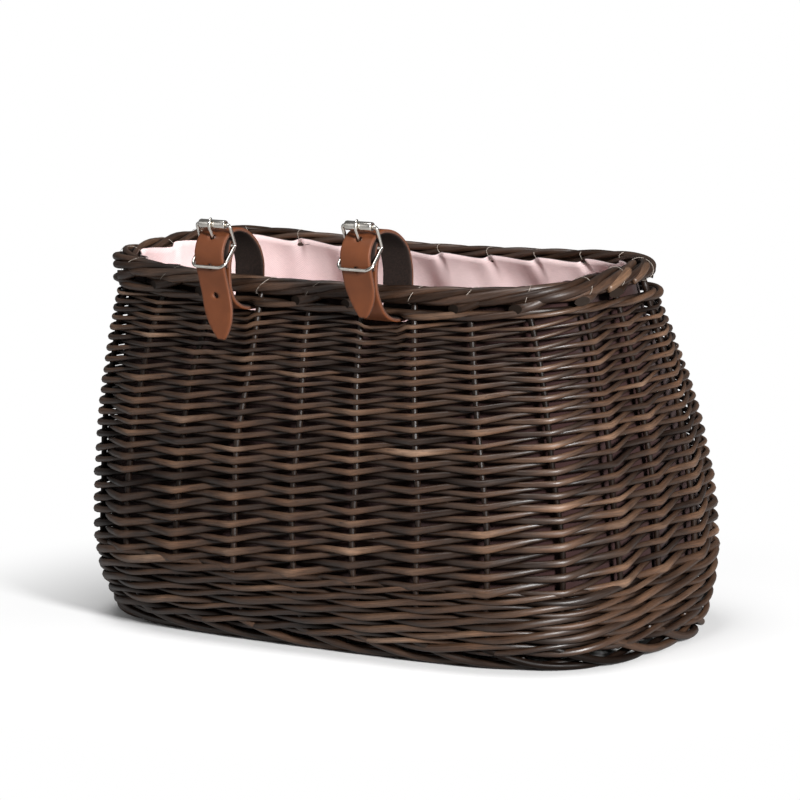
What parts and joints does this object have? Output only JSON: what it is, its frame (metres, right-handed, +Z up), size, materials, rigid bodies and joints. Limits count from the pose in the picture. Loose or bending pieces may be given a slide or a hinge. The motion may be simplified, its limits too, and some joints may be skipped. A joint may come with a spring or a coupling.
{
  "type": "bicycle basket",
  "caption": "Dark willow bicycle basket with a rolled border, a cotton lining and two leather handlebar straps with roller buckles.",
  "frame": {"origin": "middle of the whole part's outline, on the ground that the foot border stands on", "axes": "+X along the long side, to the right when the straps face the viewer; +Y from the strap side to the far side; +Z up"},
  "size_m": [0.4156, 0.2814, 0.2944],
  "materials": {
    "willow": "dark brown steamed and stained willow, satin, with lighter brown and grey streaks along the rods",
    "willow_border": "dark brown willow of the borders and stakes, satin, rubbed lighter on top",
    "lining": "matt dusty pink cotton, gathered along its top edge",
    "leather": "smooth brown leather with a soft sheen, darker and rough on the flesh side and edges",
    "nickel": "bright nickel-plated steel wire"
  },
  "bodies": {
    "basket": {"base_stick_1": "willow_border", "base_stick_2": "willow_border", "base_stick_3": "willow_border", "base_stick_4": "willow_border", "base_stick_5": "willow_border", "base_panel": "willow", "foot_border": "willow_border", "upsett_wale": "willow", "side_weave_lower": "willow", "side_weave_upper": "willow", "top_wale": "willow", "stake_01": "willow_border", "stake_02": "willow_border", "stake_03": "willow_border", "stake_04": "willow_border", "stake_05": "willow_border", "stake_06": "willow_border", "stake_07": "willow_border", "stake_08": "willow_border", "stake_09": "willow_border", "stake_10": "willow_border", "stake_11": "willow_border", "stake_12": "willow_border", "stake_13": "willow_border", "stake_14": "willow_border", "stake_15": "willow_border", "stake_16": "willow_border", "stake_17": "willow_border", "stake_18": "willow_border", "stake_19": "willow_border", "stake_20": "willow_border", "stake_21": "willow_border", "stake_22": "willow_border", "stake_23": "willow_border", "stake_24": "willow_border", "border_rod_1": "willow_border", "border_rod_2": "willow_border", "border_rod_3": "willow_border", "lining": "lining"},
    "left_strap_body": {"left_strap": "leather", "left_rivet": "nickel"},
    "left_buckle": {"left_buckle_frame": "nickel"},
    "left_buckle_roller": {"left_roller": "nickel"},
    "left_buckle_prong": {"left_prong": "nickel"},
    "right_strap_body": {"right_strap": "leather", "right_rivet": "nickel"},
    "right_buckle": {"right_buckle_frame": "nickel"},
    "right_buckle_roller": {"right_roller": "nickel"},
    "right_buckle_prong": {"right_prong": "nickel"}
  },
  "joints": [
    {"name": "left_strap_swing", "type": "hinge", "parent": "basket", "child": "left_strap_body", "pos_m": [-0.05965, -0.09976, 0.24172], "axis": [1, 0, 0], "range_deg": [-30, 14]},
    {"name": "left_buckle_tilt", "type": "hinge", "parent": "left_strap_body", "child": "left_buckle", "pos_m": [-0.05965, -0.12276, 0.26922], "axis": [1, 0, 0], "range_deg": [-2.5, 0]},
    {"name": "left_roller_spin", "type": "hinge", "parent": "left_buckle", "child": "left_buckle_roller", "pos_m": [-0.05965, -0.12836, 0.28322], "axis": [1, 0, 0], "continuous": true},
    {"name": "left_prong_pivot", "type": "hinge", "parent": "left_buckle", "child": "left_buckle_prong", "pos_m": [-0.05965, -0.12276, 0.26922], "axis": [1, 0, 0], "range_deg": [0, 3]},
    {"name": "right_strap_swing", "type": "hinge", "parent": "basket", "child": "right_strap_body", "pos_m": [0.05965, -0.09976, 0.24172], "axis": [1, 0, 0], "range_deg": [-30, 24]},
    {"name": "right_buckle_tilt", "type": "hinge", "parent": "right_strap_body", "child": "right_buckle", "pos_m": [0.05965, -0.12626, 0.27522], "axis": [1, 0, 0], "range_deg": [-2.5, 0]},
    {"name": "right_roller_spin", "type": "hinge", "parent": "right_buckle", "child": "right_buckle_roller", "pos_m": [0.05965, -0.13186, 0.28922], "axis": [1, 0, 0], "continuous": true},
    {"name": "right_prong_pivot", "type": "hinge", "parent": "right_buckle", "child": "right_buckle_prong", "pos_m": [0.05965, -0.12626, 0.27522], "axis": [1, 0, 0], "range_deg": [0, 3]}
  ]
}
